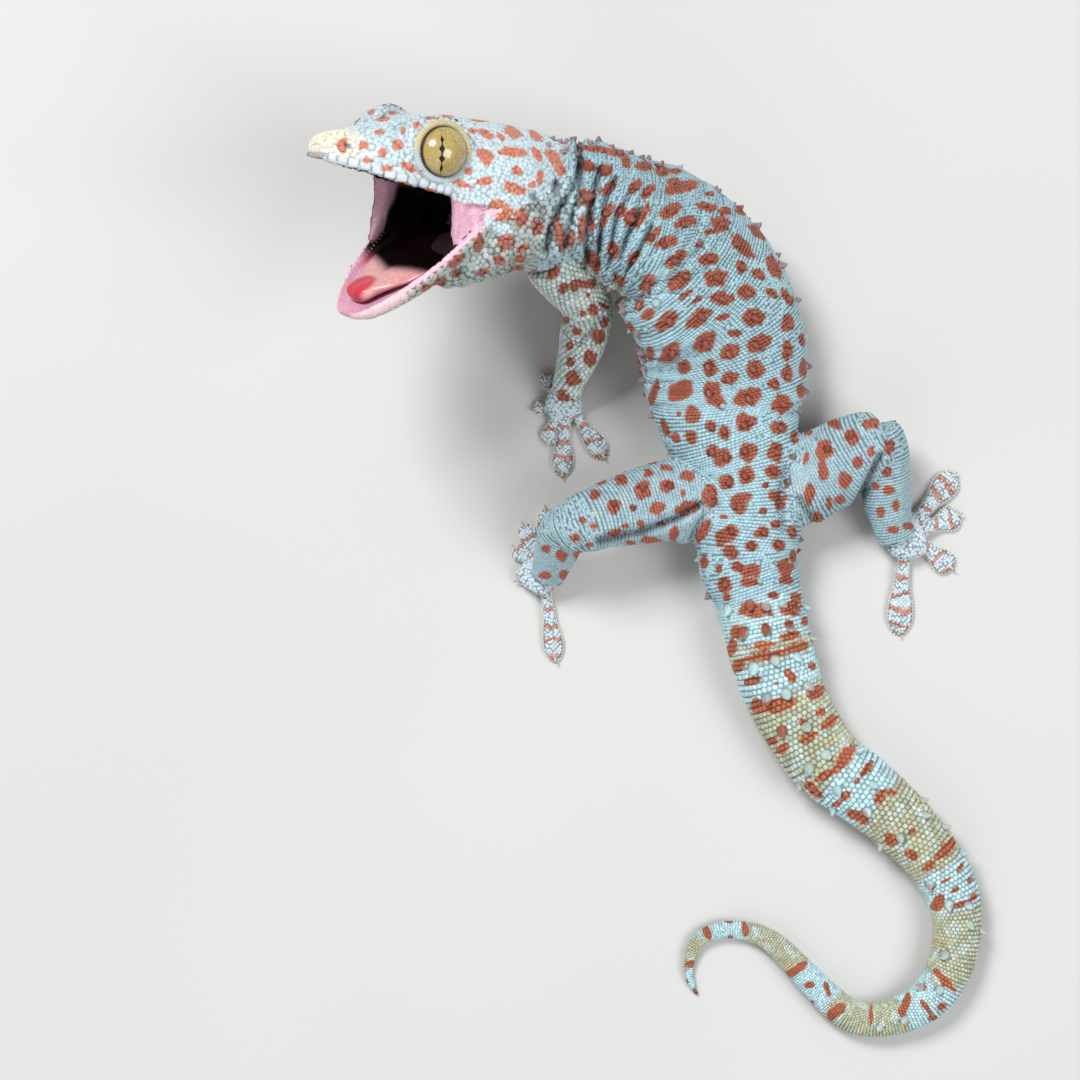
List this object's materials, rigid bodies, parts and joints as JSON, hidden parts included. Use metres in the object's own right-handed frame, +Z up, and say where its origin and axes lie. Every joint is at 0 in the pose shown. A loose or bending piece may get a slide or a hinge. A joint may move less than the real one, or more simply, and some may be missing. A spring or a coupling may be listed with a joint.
{
  "type": "tokay gecko",
  "caption": "Life-size still model of a tokay gecko with its mouth wide open, head raised, legs spread and tail curled in a hook, resting on its belly, tail and toes.",
  "frame": {"origin": "the point on the floor under the rear of the belly, where the body rests", "axes": "+Y toward the raised head along the body's long extent, +Z up, +X to the animal's right"},
  "size_m": [0.1351, 0.1872, 0.065],
  "materials": {
    "eye": "glossy golden olive eye with a dark slit pupil",
    "tongue": "moist pale pink with a red tip",
    "head_skin": "pale blue-grey granular scales with rust blotches, pink inside the mouth",
    "body_skin": "blue-grey fine scales with rust spots and conical tubercles",
    "leg_skin": "grey-green to blue scales with rust spots",
    "tail_skin": "light blue and olive bands with rust edges",
    "foot_skin": "pale lavender blue toe pads with rust bars"
  },
  "bodies": {
    "root": {"arm_left_lower": "leg_skin", "arm_left_upper": "leg_skin", "arm_right_lower": "leg_skin", "arm_right_upper": "leg_skin", "belly": "body_skin", "chest": "body_skin", "eye_left": "eye", "eye_right": "eye", "foot_left": "foot_skin", "foot_right": "foot_skin", "hand_left": "foot_skin", "hand_right": "foot_skin", "head": "head_skin", "leg_left_lower": "leg_skin", "leg_left_upper": "leg_skin", "leg_right_lower": "leg_skin", "leg_right_upper": "leg_skin", "lower_jaw": "head_skin", "neck": "body_skin", "pelvis": "body_skin", "tail_1": "tail_skin", "tail_2": "tail_skin", "tail_3": "tail_skin", "tail_4": "tail_skin", "tail_5": "tail_skin", "tail_6": "tail_skin", "throat": "head_skin", "toe_foot_left_1": "foot_skin", "toe_foot_left_2": "foot_skin", "toe_foot_left_3": "foot_skin", "toe_foot_left_4": "foot_skin", "toe_foot_left_5": "foot_skin", "toe_foot_right_1": "foot_skin", "toe_foot_right_2": "foot_skin", "toe_foot_right_3": "foot_skin", "toe_foot_right_4": "foot_skin", "toe_foot_right_5": "foot_skin", "toe_hand_left_1": "foot_skin", "toe_hand_left_2": "foot_skin", "toe_hand_left_3": "foot_skin", "toe_hand_left_4": "foot_skin", "toe_hand_left_5": "foot_skin", "toe_hand_right_1": "foot_skin", "toe_hand_right_2": "foot_skin", "toe_hand_right_3": "foot_skin", "toe_hand_right_4": "foot_skin", "toe_hand_right_5": "foot_skin", "tongue": "tongue"}
  },
  "joints": []
}
